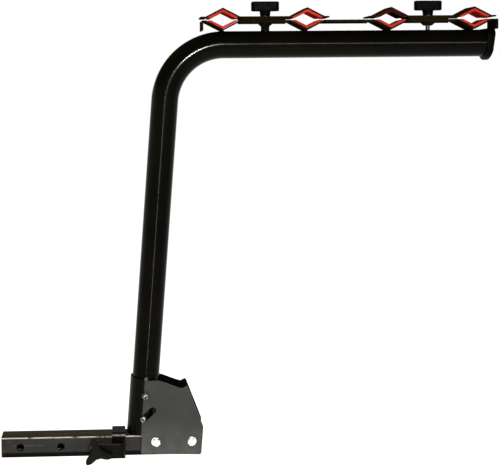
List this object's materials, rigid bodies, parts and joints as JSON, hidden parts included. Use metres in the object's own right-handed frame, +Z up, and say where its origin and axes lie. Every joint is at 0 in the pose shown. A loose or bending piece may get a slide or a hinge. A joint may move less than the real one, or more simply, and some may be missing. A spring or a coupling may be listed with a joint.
{
  "type": "hitch mounted bike rack",
  "caption": "Bent-mast bike rack for a square hitch receiver: anti-rattle collar, fold-back pivot bracket and padded clamp jaws along a level arm.",
  "frame": {"origin": "middle of the front hitch pin hole, on the shank's axis", "axes": "+X runs back from the vehicle along the shank and the arm, +Y along the hitch pin, +Z up"},
  "size_m": [1.1732, 0.1285, 1.0844],
  "materials": {
    "shank_paint": "satin black powder coat, lightly scuffed",
    "bracket_paint": "satin dark grey powder coat",
    "collar_paint": "satin dark grey powder coat",
    "mast_paint": "gloss black powder coat",
    "bar_paint": "semi-gloss black powder coat",
    "zinc": "bright zinc plated",
    "steel": "plain machined steel",
    "brass": "turned",
    "pad_rubber": "matte red",
    "knob_plastic": "fine moulded texture",
    "cap_plastic": "moulded, satin"
  },
  "bodies": {
    "base": {"shank_tube": "shank_paint", "pivot_bracket": "bracket_paint", "bracket_bolts": "zinc", "bracket_washers": "zinc", "bracket_nuts": "zinc", "bracket_spacers": "steel", "lock_bolt_nut": "steel"},
    "lock_washer": {"lock_bolt_washer": "zinc"},
    "lock_screw": {"lock_bolt": "zinc"},
    "anti_rattle_collar": {"collar": "collar_paint", "collar_arm": "collar_paint", "collar_arm_nut": "steel"},
    "screw_foot": {"pressure_pad": "steel"},
    "tightener": {"tightener_screw": "zinc", "tightener_knob": "knob_plastic"},
    "pivot": {"pivot_bolt": "zinc", "pivot_bush": "steel", "pivot_nut": "zinc"},
    "mast": {"mast_tube": "mast_paint", "cross_pin": "steel", "arm_end_cap": "cap_plastic", "carrier_bar": "bar_paint", "clamp_studs": "steel", "stud_spacer_1": "bar_paint", "stud_spacer_2": "bar_paint", "lower_pad_1": "pad_rubber", "lower_pad_2": "pad_rubber", "lower_pad_3": "pad_rubber", "lower_pad_4": "pad_rubber"},
    "clamp_washer_1": {"clamp_washer_1": "zinc"},
    "jaw_1": {"upper_jaw_1": "bar_paint", "upper_pad_1": "pad_rubber", "upper_pad_2": "pad_rubber"},
    "knob_1": {"t_knob_1": "knob_plastic", "knob_insert_1": "brass"},
    "clamp_washer_2": {"clamp_washer_2": "zinc"},
    "jaw_2": {"upper_jaw_2": "bar_paint", "upper_pad_3": "pad_rubber", "upper_pad_4": "pad_rubber"},
    "knob_2": {"t_knob_2": "knob_plastic", "knob_insert_2": "brass"}
  },
  "joints": [
    {"name": "lock_washer_lift", "type": "slide", "parent": "base", "child": "lock_washer", "axis": [0, -1, 0], "range_m": [0, 0.0025]},
    {"name": "lock_bolt_turn", "type": "hinge", "parent": "lock_washer", "child": "lock_screw", "pos_m": [0.29569, 0, 0.12405], "axis": [0, -1, 0], "range_deg": [0, 720]},
    {"name": "collar_slide", "type": "slide", "parent": "base", "child": "anti_rattle_collar", "axis": [1, 0, 0], "range_m": [-0.06, 0.003]},
    {"name": "screw_foot_lift", "type": "slide", "parent": "anti_rattle_collar", "child": "screw_foot", "axis": [0, -1, 0], "range_m": [0, 0.00962]},
    {"name": "tightener_turn", "type": "hinge", "parent": "screw_foot", "child": "tightener", "pos_m": [0.1826, 0, 0], "axis": [0, -1, 0], "range_deg": [0, 1980]},
    {"name": "pivot_lift", "type": "slide", "parent": "base", "child": "pivot", "axis": [0.7333, 0, 0.68], "range_m": [0, 0.022]},
    {"name": "mast_tilt", "type": "hinge", "parent": "pivot", "child": "mast", "pos_m": [0.2915, 0, 0.0664], "axis": [0, 1, 0], "range_deg": [0, 45.6]},
    {"name": "clamp_1_lift", "type": "slide", "parent": "mast", "child": "clamp_washer_1", "axis": [-0.0061, 0, 1], "range_m": [0, 0.015]},
    {"name": "jaw_1_swing", "type": "hinge", "parent": "clamp_washer_1", "child": "jaw_1", "pos_m": [0.58279, 0, 1.01251], "axis": [-0.0061, 0, 1], "range_deg": [-90, 90]},
    {"name": "knob_1_turn", "type": "hinge", "parent": "clamp_washer_1", "child": "knob_1", "pos_m": [0.58269, 0, 1.03016], "axis": [-0.0061, 0, 1], "range_deg": [0, 3600]},
    {"name": "clamp_2_lift", "type": "slide", "parent": "mast", "child": "clamp_washer_2", "axis": [-0.0061, 0, 1], "range_m": [0, 0.015]},
    {"name": "jaw_2_swing", "type": "hinge", "parent": "clamp_washer_2", "child": "jaw_2", "pos_m": [0.96979, 0, 1.01487], "axis": [-0.0061, 0, 1], "range_deg": [-90, 90]},
    {"name": "knob_2_turn", "type": "hinge", "parent": "clamp_washer_2", "child": "knob_2", "pos_m": [0.96968, 0, 1.03252], "axis": [-0.0061, 0, 1], "range_deg": [0, 3600]}
  ],
  "couplings": [
    {"joint": "lock_bolt_turn", "follows": "lock_washer_lift", "rad_per_m": 5026.6},
    {"joint": "tightener_turn", "follows": "screw_foot_lift", "rad_per_m": 3590.4},
    {"joint": "pivot_lift", "follows": "mast_tilt", "m_per_rad": 0.026828},
    {"joint": "knob_1_turn", "follows": "clamp_1_lift", "rad_per_m": 4188.8},
    {"joint": "knob_2_turn", "follows": "clamp_2_lift", "rad_per_m": 4188.8}
  ]
}
